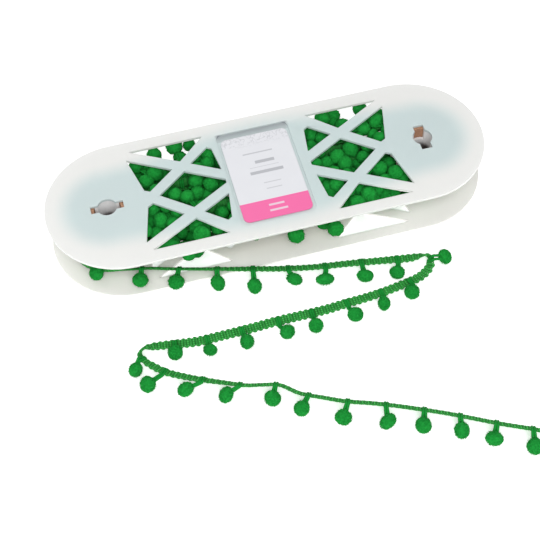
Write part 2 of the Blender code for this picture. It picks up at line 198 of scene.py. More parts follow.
# %% A finish, and what every finish starts from
class Finish:
    """One material: its shader, and the places on the piece in millimetres."""

    def __init__(self, name, roughness, **constants):
        self.material = bpy.data.materials.new(name)
        self.material.use_nodes = True
        self.tree = self.material.node_tree
        self.shader = self.tree.nodes["Principled BSDF"]
        self.shader.inputs["Roughness"].default_value = roughness
        for socket, value in constants.items():
            self.shader.inputs[socket.replace("_", " ")].default_value = value
        place = Socket(self.tree, self.tree.nodes.new("ShaderNodeTexCoord").outputs["Object"])
        values = {0: place, "Scale": 1 / MM}
        self.place = place.node("ShaderNodeVectorMath", {"operation": "SCALE"}, values)

    def axis(self, number):
        return self.place.node("ShaderNodeSeparateXYZ", (), {0: self.place}, output=number)

    def noise(self, size, detail=2.0, place=None):
        """Soft random values from 0 to 1, with lumps of about this size in millimetres."""
        values = {"Vector": place or self.place, "Scale": 1 / size, "Detail": detail}
        return self.place.node("ShaderNodeTexNoise", (), values)

    def attribute(self, name):
        return self.place.node("ShaderNodeAttribute", {"attribute_name": name}, (), output=2)

    def uv(self, number):
        """Along the thread in millimetres, or round it from 0 to 1."""
        map_node = self.tree.nodes.new("ShaderNodeUVMap")
        place = Socket(self.tree, map_node.outputs[0])
        return place.node("ShaderNodeSeparateXYZ", (), {0: place}, output=number)

    def color(self, color):
        self.tree.links.new(color.socket, self.shader.inputs["Base Color"])

    def rough(self, roughness):
        self.tree.links.new(roughness.socket, self.shader.inputs["Roughness"])

    def relief(self, height, depth):
        """Bumps of this depth in millimetres, from a height of 0 to 1."""
        values = {"Height": height, "Distance": depth * MM, "Strength": 1.0}
        bump = self.place.node("ShaderNodeBump", (), values)
        self.tree.links.new(bump.socket, self.shader.inputs["Normal"])


# %% [markdown]
# ## Yarn finishes
#
# The braid's threads are wrapped, so fine slanting lines run round them. Those follow the thread, and so they
# read its UV map. The yarn hardly shines in this soft light. The balls are cut wool-like pile: no gloss, and
# tips that vary a little. Those read the place on the piece, because pile has no direction.

# %% Yarn finishes
BRAID_DARK = linear(0, 84, 24)
BRAID_LIGHT = linear(94, 224, 108)
PILE_DARK = linear(12, 112, 40)
PILE_LIGHT = linear(38, 168, 66)
WRAP_LENGTH = 0.5  # of one turn of the wrapping thread, in millimetres


def braid_finish():
    finish = Finish("braid_yarn", 0.75, Specular_IOR_Level=0.12)
    twist = (finish.uv(0) / WRAP_LENGTH + finish.uv(1)) * (2 * math.pi)
    wrap = finish.place.math("SINE", twist) * 0.5 + 0.5
    # The tone attribute carries painted highlight on the warp and painted shade between the ribs
    tone = finish.attribute("tone") * 0.75 + wrap * 0.12 + finish.noise(3.0) * 0.3 - 0.1
    finish.color(tone.mix(BRAID_DARK, BRAID_LIGHT))
    finish.relief(wrap, 0.06)
    return finish.material


def pile_finish():
    finish = Finish("pompom_pile", 0.95, Specular_IOR_Level=0.1)
    tips = finish.noise(0.28, 3.0)
    patch = finish.noise(6.0, 1.0)
    # The tone attribute carries painted shade between the tufts and painted highlight on the hair tips
    tone = finish.attribute("tone") * 0.55 + tips * 0.55 + patch * 0.3 - 0.2
    finish.color(tone.mix(PILE_DARK, PILE_LIGHT))
    finish.relief(tips, 0.22)
    return finish.material


braid_yarn = braid_finish()
pile_yarn = pile_finish()
print("yarn finishes:", braid_yarn.name, pile_yarn.name)

# %% [markdown]
# ## Surfaces from arrays
#
# Every new piece is a grid of points wrapped on itself. A thread is a ring carried along a path, and a ball is
# rings from pole to pole. The points are worked out as whole arrays, and one small class gathers them, with a
# UV for each corner so that the last face of a ring doesn't run backwards through the map.

# %% Gathering surfaces into one mesh
TABLE_GAP = 0.03


class Skin:
    """Closed surfaces gathered for one mesh, with a tone for each point and a UV for each corner."""

    def __init__(self):
        self.points, self.tones = [], []
        self.quads, self.quad_uvs = [], []
        self.triangles, self.triangle_uvs = [], []
        self.count = 0

    def add(self, points, tone, quads, quad_uvs, triangles, triangle_uvs):
        """What would sink into the table is pressed flat on it."""
        self.points.append(np.maximum(points, (-np.inf, -np.inf, TABLE_GAP)))
        self.tones.append(np.broadcast_to(tone, len(points)))
        self.quads.append(quads + self.count)
        self.quad_uvs.append(quad_uvs)
        self.triangles.append(triangles + self.count)
        self.triangle_uvs.append(triangle_uvs)
        self.count += len(points)

    def make(self, name, material):
        quads, triangles = np.concatenate(self.quads), np.concatenate(self.triangles)
        mesh = bpy.data.meshes.new(name)
        points = np.concatenate(self.points) * MM
        mesh.from_pydata(points.tolist(), [], quads.tolist() + triangles.tolist())
        uvs = [group.reshape(-1, 2) for group in self.quad_uvs + self.triangle_uvs]
        mesh.uv_layers.new(name="thread").data.foreach_set("uv", np.concatenate(uvs).ravel())
        tones = mesh.attributes.new("tone", "FLOAT", "POINT")
        tones.data.foreach_set("value", np.concatenate(self.tones).astype(np.float32))
        mesh.shade_smooth()
        mesh.materials.append(material)
        print(name, "has", 2 * len(quads) + len(triangles), "triangles")
        return new_object(name, mesh)


def ring_faces(rows, columns, along, poles):
    """Faces of rows of rings, each joined to itself, with a fan at both ends to two more points, the poles."""
    row, column = np.meshgrid(np.arange(rows - 1), np.arange(columns), indexing="ij")
    after = (column + 1) % columns
    corners = (row * columns + column, (row + 1) * columns + column,
               (row + 1) * columns + after, row * columns + after)
    quads = np.stack([corner.ravel() for corner in corners], axis=1)
    round_it = np.stack([column, column, column + 1, column + 1], axis=-1).reshape(-1, 4) / columns
    along_it = np.stack([along[row], along[row + 1], along[row + 1], along[row]], axis=-1).reshape(-1, 4)
    quad_uvs = np.stack([along_it, round_it], axis=-1)
    here = np.arange(columns)
    there = (here + 1) % columns
    last = (rows - 1) * columns
    first_fan = np.stack([np.full(columns, poles[0]), here, there], axis=1)
    last_fan = np.stack([np.full(columns, poles[1]), last + there, last + here], axis=1)
    triangles = np.concatenate([first_fan, last_fan])
    ends = np.repeat([along[0], along[-1]], columns)
    fan_uvs = np.stack([np.repeat(ends[:, None], 3, axis=1), np.full((2 * columns, 3), 0.5)], axis=-1)
    return quads, quad_uvs, triangles, fan_uvs


def lay_thread(skin, path, face, half_across, half_thick, sides, tone):
    """Carries a ring along a path: point = path + across cos(angle) side + thick sin(angle) up.

    The side is square to the path and to the given face direction, and up is square to both."""
    ahead = unit(np.gradient(path, axis=0))
    side = unit(np.cross(ahead, face))
    up = np.cross(side, ahead)
    angle = np.arange(sides) * 2 * math.pi / sides
    ring = half_across * np.cos(angle)[:, None] * side[:, None]
    ring = ring + half_thick * np.sin(angle)[:, None] * up[:, None]
    points = np.concatenate([(path[:, None] + ring).reshape(-1, 3), path[[0, -1]]])
    steps = np.linalg.norm(np.diff(path, axis=0), axis=1)
    along = np.concatenate([[0], np.cumsum(steps)])
    rows = len(path)
    skin.add(points, tone, *ring_faces(rows, sides, along, (rows * sides, rows * sides + 1)))


# %% [markdown]
# ## The braid's path
#
# The loose length leaves the winding at the left, runs along the front of the reel, turns back at the right,
# and turns again at the left to leave the picture. Its route is a list of given points, with how high the lower
# edge lies and how far the pompom edge is turned up. A smooth curve through them gives the line, and the line
# with its turn gives a small frame of directions everywhere: ahead, out to the pompoms, and the face.

# %% The braid's path
BRAID_WIDTH = 6.0
BRAID_THICKNESS = 1.1
# Columns: x, y, height of what the lower edge lies on, and turn of the pompom edge, from 0 flat with the edge
# on the right, through 90 standing with the edge up, to 180 flat with the edge on the left
ROUTE = np.array((
    (-101.4, -12.2, 1.8, 88), (-98.4, -16.4, 1.8, 85), (-94.0, -20.0, 1.8, 78), (-89.0, -22.3, 1.8, 70),
    (-83.6, -23.6, 1.8, 60), (-77.9, -24.7, 1.8, 52), (-68.1, -26.7, 1.8, 48), (-57.6, -30.0, 1.8, 47),
    (-46.1, -33.3, 1.8, 46), (-34.6, -36.5, 1.8, 42), (-24.9, -39.1, 1.8, 35), (-16.8, -41.0, 1.6, 31),
    (-8.3, -42.8, 0.9, 28), (2.4, -44.9, 0.2, 27), (14.1, -47.1, 0.1, 25), (26.6, -48.8, 0.1, 21),
    (39.1, -50.8, 0.1, 18), (51.1, -52.7, 0.1, 13), (60.0, -54.0, 0.1, 12), (65.4, -55.0, 0.1, 45),
    (68.0, -57.0, 0.1, 90), (67.8, -60.0, 0.1, 135), (65.4, -63.0, 0.1, 160), (61.3, -65.4, 0.1, 170),
    (56.6, -66.8, 0.1, 172), (49.2, -68.1, 0.1, 172), (39.4, -69.5, 0.1, 172), (29.9, -70.3, 0.1, 174),
    (20.5, -70.7, 0.1, 176), (11.1, -71.3, 0.1, 180), (2.0, -71.4, 0.1, 180), (-7.1, -71.3, 0.1, 180),
    (-16.2, -71.3, 0.1, 180), (-25.4, -71.7, 0.1, 180), (-34.4, -71.9, 0.1, 180), (-43.4, -72.0, 0.1, 180),
    (-52.4, -72.1, 0.1, 180), (-61.1, -71.3, 0.1, 176), (-69.7, -70.1, 0.1, 170), (-76.8, -69.5, 0.1, 158),
    (-81.0, -70.6, 0.1, 118), (-82.6, -73.6, 0.1, 62), (-81.2, -76.8, 0.1, 40), (-78.0, -80.2, 0.1, 28),
    (-72.9, -85.0, 0.1, 28), (-64.2, -90.2, 0.1, 32), (-55.5, -94.6, 0.1, 38), (-46.8, -98.6, 0.1, 44),
    (-38.1, -102.4, 0.1, 48), (-30.8, -104.2, 0.1, 50), (-22.7, -106.6, 0.1, 50), (-14.9, -113.2, 0.1, 49),
    (-5.6, -118.0, 0.1, 48), (4.5, -122.9, 0.1, 47), (15.8, -127.1, 0.1, 47), (26.9, -131.7, 0.1, 47),
    (37.8, -136.7, 0.1, 47), (48.6, -141.9, 0.1, 47), (59.2, -147.5, 0.1, 47), (69.7, -153.1, 0.1, 47),
    (80.3, -158.2, 0.1, 47), (91.0, -163.6, 0.1, 47), (103.5, -169.6, 0.1, 47),
))


def smooth_curve(rows, spots):
    """A curve through every row at these spots, counted in rows: on each stretch, a cubic whose slope at a
    row is half the way from the row before it to the row after it."""
    padded = np.vstack([2 * rows[0] - rows[1], rows, 2 * rows[-1] - rows[-2]])
    index = np.clip(np.floor(spots).astype(int), 0, len(rows) - 2)
    t = (spots - index)[:, None]
    a, b, c, d = (padded[index + k] for k in range(4))
    square = (2 * a - 5 * b + 4 * c - d) * t ** 2
    cube = (3 * b - a - 3 * c + d) * t ** 3
    return (2 * b + (c - a) * t + square + cube) / 2


class BraidPath:
    """The braid's middle line and its directions, read at any distance along it."""

    def __init__(self, line, out):
        steps = np.linalg.norm(np.diff(line, axis=0), axis=1)
        self.distance = np.concatenate([[0], np.cumsum(steps)])
        self.length = self.distance[-1]
        self.line = line
        self.out = out

    def read(self, rows, along):
        return np.stack([np.interp(along, self.distance, rows[:, k]) for k in range(3)], axis=-1)

    def frame(self, along):
        """Middle, way out to the pompom edge, and face, at these distances."""
        step = 0.3
        ahead = unit(self.read(self.line, along + step) - self.read(self.line, along - step))
        out = self.read(self.out, along)
        out = unit(out - ahead * (out * ahead).sum(axis=-1, keepdims=True))
        return self.read(self.line, along), out, np.cross(out, ahead)

    def point(self, along, sideways, lift):
        """Middle + sideways times the way out + lift times the face."""
        middle, out, face = self.frame(along)
        return middle + np.asarray(sideways)[..., None] * out + np.asarray(lift)[..., None] * face


def loose_path():
    """The line stands as high as its lower edge lets it: half width times sin(turn) + half thickness times
    cos(turn)."""
    columns = smooth_curve(ROUTE, np.linspace(0, len(ROUTE) - 1, 3001))
    turn = np.radians(columns[:, 3])
    rise = BRAID_WIDTH / 2 * np.abs(np.sin(turn)) + BRAID_THICKNESS / 2 * np.abs(np.cos(turn))
    line = np.column_stack([columns[:, :2], columns[:, 2] + rise])
    ahead = unit(np.gradient(line, axis=0))
    right = unit(np.cross(ahead, (0, 0, 1)))
    up = np.cross(right, ahead)
    return BraidPath(line, right * np.cos(turn)[:, None] + up * np.sin(turn)[:, None])


loose = loose_path()
print("loose braid:", round(float(loose.length), 1), "mm")

# %% [markdown]
# ## Braiding the loose length
#
# A gimp braid is one thick cord laid to and fro across a few thin warp threads. At each edge the cord turns in
# a round loop, which makes the scallops, and between the edges its runs lie side by side as ribs. A printed
# pattern would look flat at the scallops, so both yarns are laid as real threads. Each warp thread rises over
# every rib and dips between them, and its colour is painted lighter where it is high, a painted highlight: the
# braid's rows of light dots.

# %% The loose braid
SCALLOP = 2.8  # from one loop to the next on the same edge
LOOP_SWELL = 0.25  # how far the loops swell along the edge
RIB_HALF = (0.74, 0.42)  # of the cord, along the braid and through it
CORD_LIFT = 0.1  # by which its runs to and fro lie apart
CORD_TONE = 0.22
CORD_STEPS = 18  # for each scallop
WARP_PLACES = (-1.8, -0.6, 0.6, 1.8)
WARP_HALF = 0.29
WARP_WAVE = 0.32
WARP_STEPS = 8
BRAID_INSET = 0.3  # of the threads' ends from the ends of the path


def lay_braid(skin, path, start, end):
    """Cord: along = scallop a / 2 pi - swell sin 2a, sideways = half width sin a, lift = cord lift cos a.
    Warp: along = s, sideways fixed, lift = wave cos(4 pi s / scallop), on both faces. Its tone is painted
    lighter where it is high, a painted highlight."""
    scallops = int((end - start) / SCALLOP)
    angle = np.linspace(0, 2 * math.pi * scallops, CORD_STEPS * scallops + 1)
    along = start + SCALLOP * angle / (2 * math.pi) - LOOP_SWELL * np.sin(2 * angle)
    reach = BRAID_WIDTH / 2 - RIB_HALF[0]
    cord = path.point(along, reach * np.sin(angle), CORD_LIFT * np.cos(angle))
    lay_thread(skin, cord, path.frame(along)[2], *RIB_HALF, 6, CORD_TONE)
    length = scallops * SCALLOP
    run = np.linspace(0, length, WARP_STEPS * scallops + 1)
    wave = np.cos(4 * math.pi * run / SCALLOP)
    # Painted highlight: the warp's tone is lighter where it rises over a rib and darker where it dips
    tone = np.append(np.repeat(0.55 + 0.45 * wave, 4), (0.5, 0.5))
    for face in (-1, 1):
        for place in WARP_PLACES:
            warp = path.point(start + run, np.full(len(run), place), face * WARP_WAVE * wave)
            lay_thread(skin, warp, path.frame(start + run)[2], WARP_HALF, WARP_HALF, 4, tone)


def make_loose_braid():
    skin = Skin()
    lay_braid(skin, loose, BRAID_INSET, loose.length - BRAID_INSET)
    braid = skin.make("loose_braid", braid_yarn)
    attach(braid, "root")
    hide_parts("tape_loose")
    return braid


loose_braid = make_loose_braid()

# %% [markdown]
# ## Pompoms
#
# A pompom is yarn tied in the middle and cut, so its surface is the ends of many tufts. A smooth sphere with a
# noise texture keeps a perfect outline and looks like plastic. Here each tuft is a small dome on the ball: the
# tufts' middles are spread evenly with the golden angle, and every surface point is raised by how near it is
# to the nearest one. A few broad waves pull the ball out of round, as handling does.

# %% A ball of tufts
GOLDEN_TURN = math.pi * (3 - math.sqrt(5))
TUFTS = 190
TUFT_HEIGHT = 0.08  # share of the ball's radius
OUT_OF_ROUND = 0.09
YARN_END = 0.014  # how unevenly single yarn ends stand out, as a share of the radius
HAIR_HALF = 0.07
rng = np.random.default_rng(7)


def spread_directions(count):
    """Directions spread evenly over a sphere: height falls steadily while the golden angle turns."""
    height = 1 - (2 * np.arange(count) + 1) / count
    turn = GOLDEN_TURN * np.arange(count)
    level = np.sqrt(1 - height ** 2)
    return np.stack([level * np.cos(turn), level * np.sin(turn), height], axis=1)


def ball_grid(rings, columns):
    """Directions of a ball's points: x = sin p cos q, y = sin p sin q, z = cos p, and the two poles last."""
    p, q = np.meshgrid(np.linspace(0, math.pi, rings + 1)[1:-1],
                       np.arange(columns) * 2 * math.pi / columns, indexing="ij")
    grid = np.stack([np.sin(p) * np.cos(q), np.sin(p) * np.sin(q), np.cos(p)], axis=-1).reshape(-1, 3)
    points = np.concatenate([grid, [(0, 0, 1), (0, 0, -1)]])
    faces = ring_faces(rings - 1, columns, np.linspace(0, 1, rings - 1), (len(grid), len(grid) + 1))
    return points, faces


def waves(directions, count=4):
    """A few broad waves over a sphere: the mean of sin(3 direction . axis + shift)."""
    axes = unit(rng.normal(size=(count, 3)))
    return np.sin(3 * directions @ axes.T + rng.uniform(0, 6, count)).mean(axis=1)


def tufted(directions, tufts=TUFTS, height=TUFT_HEIGHT):
    """How far out each direction's point lies, and a dome over each tuft's middle; its tone is painted shade,
    darker between tufts and on short tufts, lighter on the tops of long ones.
    """
    middles = unit(spread_directions(tufts) + rng.normal(scale=0.5 / math.sqrt(tufts), size=(tufts, 3)))
    nearness = directions @ middles.T
    nearest = nearness.argmax(axis=1)
    width = math.sqrt(4 / tufts)
    off_middle = np.arccos(np.clip(nearness.max(axis=1), -1, 1)) / width
    dome = 1 - off_middle ** 2
    length = rng.normal(scale=0.35, size=tufts)[nearest]
    ends = rng.normal(size=len(directions))
    reach = 1 + height * (dome - 0.8 + length) + OUT_OF_ROUND * waves(directions) + YARN_END * ends
    # Painted shade: darker between the tufts and on short ones, lighter on the tufts' tops
    tone = np.clip(0.35 + 0.4 * dome + 0.3 * length + 0.1 * ends, 0, 1)
    return reach, tone


def lay_ball(skin, grid, centre, axes, half_sizes, tufts=TUFTS, height=TUFT_HEIGHT, shade=0.0):
    """Ball: point = centre + reach (x half width side + y half height up + z half length along)."""
    directions, faces = grid
    reach, tone = tufted(directions, tufts, height)
    points = centre + (directions * reach[:, None] * half_sizes) @ axes
    skin.add(points, np.clip(tone + shade, 0, 1), *faces)


def lay_fuzz(skin, centre, axes, half_sizes, count):
    """Hairs: thin three-sided spikes. Tip = foot + length times a direction that leans off straight out."""
    foot = (unit(rng.normal(size=(count, 3))) * np.array(half_sizes) * 0.97) @ axes
    lean = unit(unit(foot) + rng.normal(scale=0.35, size=(count, 3)))
    side = unit(np.cross(lean, rng.normal(size=(count, 3)))) * HAIR_HALF
    other = np.cross(lean, side)
    tip = foot + lean * rng.uniform(0.35, 0.95, (count, 1))
    corners = np.stack([foot + side, foot - side / 2 + other, foot - side / 2 - other, tip], axis=1)
    first = 4 * np.arange(count)[:, None, None]
    triangles = (first + np.array(((0, 1, 3), (1, 2, 3), (2, 0, 3)))).reshape(-1, 3)
    no_quads = np.zeros((0, 4), int)
    # Painted highlight: the hair tips are lighter than their feet
    tone = np.tile((0.4, 0.4, 0.4, 0.9), count)
    points = centre + corners.reshape(-1, 3)
    skin.add(points, tone, no_quads, np.zeros((0, 4, 2)), triangles, np.full((len(triangles), 3, 2), 0.5))


FINE_BALL = ball_grid(40, 60)
print("points on a loose ball:", len(FINE_BALL[0]))

# %% [markdown]
# ## The loose pompoms
#
# Each ball hangs from a loop of two thick threads that are stitched across the braid. The table gives where
# the stalk leaves the braid and where the ball lies. The balls of one row are joined in one mesh.

# %% The loose pompoms
# Columns: distance of the stalk along the braid, ball's x and y, height of what it lies on, half its length
# along the stalk, half its width, half its height
POMPOMS = (
    (15.3, -94.4, -25.6, 5.6, 3.5, 3.6, 3.5),
    (33.7, -74.2, -32.9, 1.9, 3.5, 3.9, 3.6),
    (52.3, -57.5, -38.9, 1.9, 3.7, 4.0, 3.6),
    (71.3, -37.4, -43.7, 0.1, 4.0, 3.4, 3.4),
    (89.0, -20.4, -50.4, 0.1, 3.9, 3.5, 3.5),
    (106.7, -0.3, -51.2, 0.1, 2.9, 4.2, 2.6),
    (125.1, 14.2, -55.8, 0.1, 2.9, 4.5, 2.9),
    (143.5, 33.8, -59.3, 0.1, 3.1, 4.2, 3.1),
    (161.6, 49.7, -61.8, 0.2, 3.4, 3.9, 3.3),
    (180.0, 75.4, -59.3, 0.1, 3.0, 3.9, 3.4),
    (197.0, 53.1, -74.6, 0.1, 4.0, 3.7, 3.5),
    (212.9, 37.8, -77.1, 0.1, 4.2, 3.0, 3.2),
    (230.9, 22.6, -79.6, 0.1, 3.6, 3.7, 3.5),
    (249.0, 2.4, -80.5, 0.1, 3.7, 3.6, 3.6),
    (266.0, -11.7, -80.0, 0.1, 3.5, 3.8, 3.4),
    (284.3, -31.8, -80.1, 0.1, 3.8, 3.5, 3.5),
    (301.6, -49.9, -79.5, 0.3, 4.0, 2.7, 2.7),
    (317.5, -66.4, -77.4, 1.1, 4.0, 3.7, 3.5),
    (339.0, -86.4, -80.7, 0.1, 3.6, 3.2, 3.3),
    (351.7, -82.5, -90.0, 0.1, 3.7, 4.0, 3.5),
    (370.5, -65.8, -97.2, 0.1, 4.0, 3.4, 3.3),
    (388.4, -48.3, -105.1, 0.1, 4.0, 3.3, 3.3),
    (405.3, -28.0, -112.8, 0.1, 3.6, 4.0, 3.5),
    (421.7, -16.3, -121.3, 0.1, 3.8, 3.6, 3.5),
    (440.1, 0.9, -130.9, 0.1, 3.6, 4.0, 3.5),
    (457.9, 19.9, -138.2, 0.1, 3.2, 4.4, 3.2),
    (475.6, 34.9, -144.5, 0.1, 3.9, 3.7, 3.6),
    (492.1, 50.9, -151.5, 0.1, 4.0, 3.4, 3.4),
    (508.8, 63.6, -159.2, 0.1, 3.5, 4.1, 3.4),
    (525.3, 79.6, -167.9, 0.1, 3.9, 3.7, 3.6),
    (542.8, 95.6, -175.6, 0.1, 3.7, 3.8, 3.6),
)
# Columns: name, number of its first pompom, number of its last
ROWS = (("pompoms_front_row", 1, 10), ("pompoms_middle_row", 11, 19), ("pompoms_last_row", 20, 31))
# Degrees by which some balls lie turned off their stalk, seen from above, anticlockwise
TURNED = {4: 20, 6: -58, 7: 12, 8: -10, 11: 30, 17: 50, 22: 30, 26: 35}
FUZZ = 420  # hairs on a loose ball
STALK_HALF = 0.72
STALK_SPREAD = 0.56  # of its two threads at the braid, each way
STALK_MEET = 0.5  # and at the ball
# Columns: how far from the braid's middle line a stalk's thread passes, and share of its full lift there
STALK_SPOTS = np.array(((-1.9, 1.0), (0.6, 1.0), (2.4, 1.0), (3.3, 0.4)))
STALK_IN_BALL = 0.8  # share of the ball's half length at which it ends


def ball_axes(along, turned=0.0):
    """Side, up and along for a ball on a stalk: the side is level."""
    angle = math.radians(turned)
    cos, sin = math.cos(angle), math.sin(angle)
    along = np.array((along[0] * cos - along[1] * sin, along[0] * sin + along[1] * cos, along[2]))
    side = unit(np.cross(along, (0, 0, 1)))
    return np.stack([side, np.cross(side, along), along])


def lay_stalk(skin, path, distance, centre, half_long, steps=16, sides=6):
    """Two threads across the braid's upper face, over its edge, to the ball, each a smooth curve through six
    spots."""
    face = path.frame(np.array([distance]))[2][0]
    sideways = STALK_SPOTS[:, 0]
    lift = math.copysign(BRAID_THICKNESS / 2 - 0.15, face[2]) * STALK_SPOTS[:, 1]
    between = path.point(np.array([distance]), sideways[-1:], lift[-1:])[0]
    for way in (-1, 1):
        at_braid = np.full(len(sideways), distance + way * STALK_SPREAD)
        on_braid = path.point(at_braid, sideways, lift)
        end = centre + unit(on_braid[-1] - centre) * half_long * STALK_IN_BALL
        into_ball = end + unit(on_braid[-1] - between) * STALK_MEET
        knot = (on_braid[-1] + into_ball) / 2
        spots = np.vstack([on_braid, knot, into_ball])
        spots[:, 2] = np.maximum(spots[:, 2], STALK_HALF + TABLE_GAP)
        thread = smooth_curve(spots, np.linspace(0, len(spots) - 1, steps))
        lay_thread(skin, thread, face + 0.01, STALK_HALF, STALK_HALF, sides, 0.45)


def make_row(name, first, last):
    skin = Skin()
    for number, (distance, x, y, floor, *half_sizes) in enumerate(POMPOMS[first - 1:last], first):
        half_long, half_wide, half_high = half_sizes
        edge = loose.point(np.array([distance]), [BRAID_WIDTH / 2], [0.0])[0]
        centre = np.array((x, y, floor + half_high))
        axes = ball_axes(unit(centre - edge), TURNED.get(number, 0))
        lay_ball(skin, FINE_BALL, centre, axes, (half_wide, half_high, half_long))
        lay_fuzz(skin, centre, axes, (half_wide, half_high, half_long), FUZZ)
        lay_stalk(skin, loose, distance, centre, half_long)
    row = skin.make(name, pile_yarn)
    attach(row, "root")
    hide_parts(*(f"pompom_{k:02d}" for k in range(first, last + 1)))
    return row


pompom_rows = [make_row(*row) for row in ROWS]
middle_line = loose.read(loose.line, np.linspace(0, loose.length, 400)) * MM

# %% [markdown]
# ## The winding
#
# Inside the reel the trim goes round both hubs, slack and heaped: at the hubs the turns lie close, and along
# the sides they spread and bulge. Its form is set by two loops, the inner and the outer edge of the heap. One
# long spiral runs between them, and its braid leans, dips and rolls over as it goes.

# %% The winding's loops
HUB_X = 82.0
HEAP_INNER = 9.5  # radius at the hubs
HEAP_OUTER = 21.3
HEAP_BULGE = 10.2  # more half width in the middle of a side
HEAP_LOW = 1.8
HEAP_HIGH = 24.2
SLIT = 1.2
SLIT_OPENS = 54.0
DENT = 4.0  # how far the front side stands back, and where
DENT_X = 4.0
DENT_REACH = 30.0


def heap_edge(x):
    """Half the heap's width at x: outer radius + bulge cos squared, a quarter wave from middle to hub."""
    share = np.clip(np.abs(x) / HUB_X, 0, 1)
    return HEAP_OUTER + HEAP_BULGE * np.cos(math.pi / 2 * share) ** 2


def front_dent(x):
    """How far the front side stands back at x: dent times exp(-((x - dent x) / reach) ^ 4)."""
    return DENT * np.exp(-((x - DENT_X) / DENT_REACH) ** 4)


def heap_loops():
    """Inner and outer loop, point by point, anticlockwise from the middle of the front side."""
    x = np.linspace(0, HUB_X, 60, endpoint=False)
    opening = np.clip((x - SLIT_OPENS) / (HUB_X - SLIT_OPENS), 0, 1)
    inner_y = SLIT + (HEAP_INNER - SLIT) * opening ** 1.5
    angle = np.radians(np.linspace(-90, 90, 40, endpoint=False))
    bend = np.stack([np.cos(angle), np.sin(angle)], axis=1)
    loops = []
    for side_y, radius in ((inner_y, HEAP_INNER), (heap_edge(x), HEAP_OUTER)):
        front = np.stack([x, -side_y], axis=1)
        back = np.stack([x, side_y], axis=1)[:0:-1]
        middle = front[:1] * (1, -1)
        half = np.concatenate([front, bend * radius + (HUB_X, 0), back, middle])[:-1]
        loops.append(np.concatenate([half, -half]))
    outer = loops[1]
    outer[:, 1] += front_dent(outer[:, 0]) * (outer[:, 1] < 0)
    return loops


inner_loop, outer_loop = heap_loops()
print("loop points:", len(inner_loop), len(outer_loop))

# %% [markdown]
# The spiral is read off those loops. Its share of the way outwards grows steadily, and knots of random values,
# joined smoothly, give the height of the braid and how far it leans. It ends standing, where the loose length
# starts, so that the two are one braid.

# %% The wound braid's path
TURNS = 11
FIRST_SHARE = 0.04  # of the way outwards, at the inner end
LAST_SHARE = 0.94
SHARE_WANDER = 0.03
KNOT_SPACING = 75.0
LEAN = 75.0  # off upright, in degrees, each way
MIDDLE_HEIGHTS = (4.5, 17.5)
ROLLED_RISE = 3.5  # by which a stretch with its pompom edge down lies higher
EXIT_RADIUS = 22.9
EXIT_STRETCH = 0.015  # share of the length that leads to the exit


def random_wave(distance, low, high):
    """Random values every so often along the way, joined by half cosine steps."""
    knots = rng.uniform(low, high, int(distance[-1] / KNOT_SPACING) + 3)
    spot = distance / KNOT_SPACING
    index = spot.astype(int)
    blend = (1 - np.cos(math.pi * (spot - index))) / 2
    return knots[index] * (1 - blend) + knots[index + 1] * blend


def exit_station():
    """Where on the loop the loose length leaves, as a number of loop points."""
    start = ROUTE[0, :2]
    ways = inner_loop - (-HUB_X, 0)
    wanted = unit(start - (-HUB_X, 0))
    return int((unit(ways) @ wanted).argmax())


def wound_path():
    """Middle line = inner loop (1 - share) + outer loop share, with the share growing steadily, and way out =
    up cos(lean) + outward sin(lean). Where a random wave is high the lean grows by half a turn."""
    count = len(inner_loop)
    stations = np.arange(TURNS * count + exit_station())
    progress = np.linspace(0, 1, len(stations))
    share = FIRST_SHARE + (LAST_SHARE - FIRST_SHARE) * progress
    share = share + SHARE_WANDER * np.sin(progress * 61) * np.sin(math.pi * progress)
    last = np.clip((progress - (1 - EXIT_STRETCH)) / EXIT_STRETCH, 0, 1)
    exit_share = (EXIT_RADIUS - HEAP_INNER) / (HEAP_OUTER - HEAP_INNER)
    share = (share * (1 - last ** 2) + exit_share * last ** 2)[:, None]
    flat = inner_loop[stations % count] * (1 - share) + outer_loop[stations % count] * share
    steps = np.linalg.norm(np.diff(flat, axis=0), axis=1)
    distance = np.concatenate([[0], np.cumsum(steps)])
    lean = np.radians(random_wave(distance, -LEAN, LEAN))
    upside_down = random_wave(distance, -1.0, 0.7).clip(0, 0.35) / 0.35
    lean = lean * (1 - last) + math.pi * upside_down * (1 - last)
    room = BRAID_WIDTH / 2 * np.abs(np.cos(lean)) + 0.8
    height = random_wave(distance, *MIDDLE_HEIGHTS) + ROLLED_RISE * upside_down
    height = np.clip(height, HEAP_LOW + room, HEAP_HIGH - room)
    height = height * (1 - last) + (HEAP_LOW + BRAID_WIDTH / 2) * last
    line = np.column_stack([flat, height])
    ahead = unit(np.gradient(line, axis=0))
    outward = unit(np.cross(ahead, (0, 0, 1)))
    up = np.cross(outward, ahead)
    return BraidPath(line, up * np.cos(lean)[:, None] + outward * np.sin(lean)[:, None])


wound = wound_path()
print("wound braid:", round(float(wound.length) / 1000, 2), "m in", TURNS, "turns")

# %% [markdown]
# ## The wound braid
#
# Several metres of true threads would be millions of faces, and most of it is hidden. The wound braid is one
# band instead: its section is carried along the path, thick on each rib and thin between, and wide at each
# scallop, so that it still has the ribs and the looped edge where a stretch of it shows between the balls.

# %% The wound braid
RIB_STEP = SCALLOP / 2
# Columns: share of the half width, share of the half thickness
BAND_SECTION = np.array(((1, 0), (0.5, 1), (-0.5, 1), (-1, 0), (-0.5, -1), (0.5, -1)))


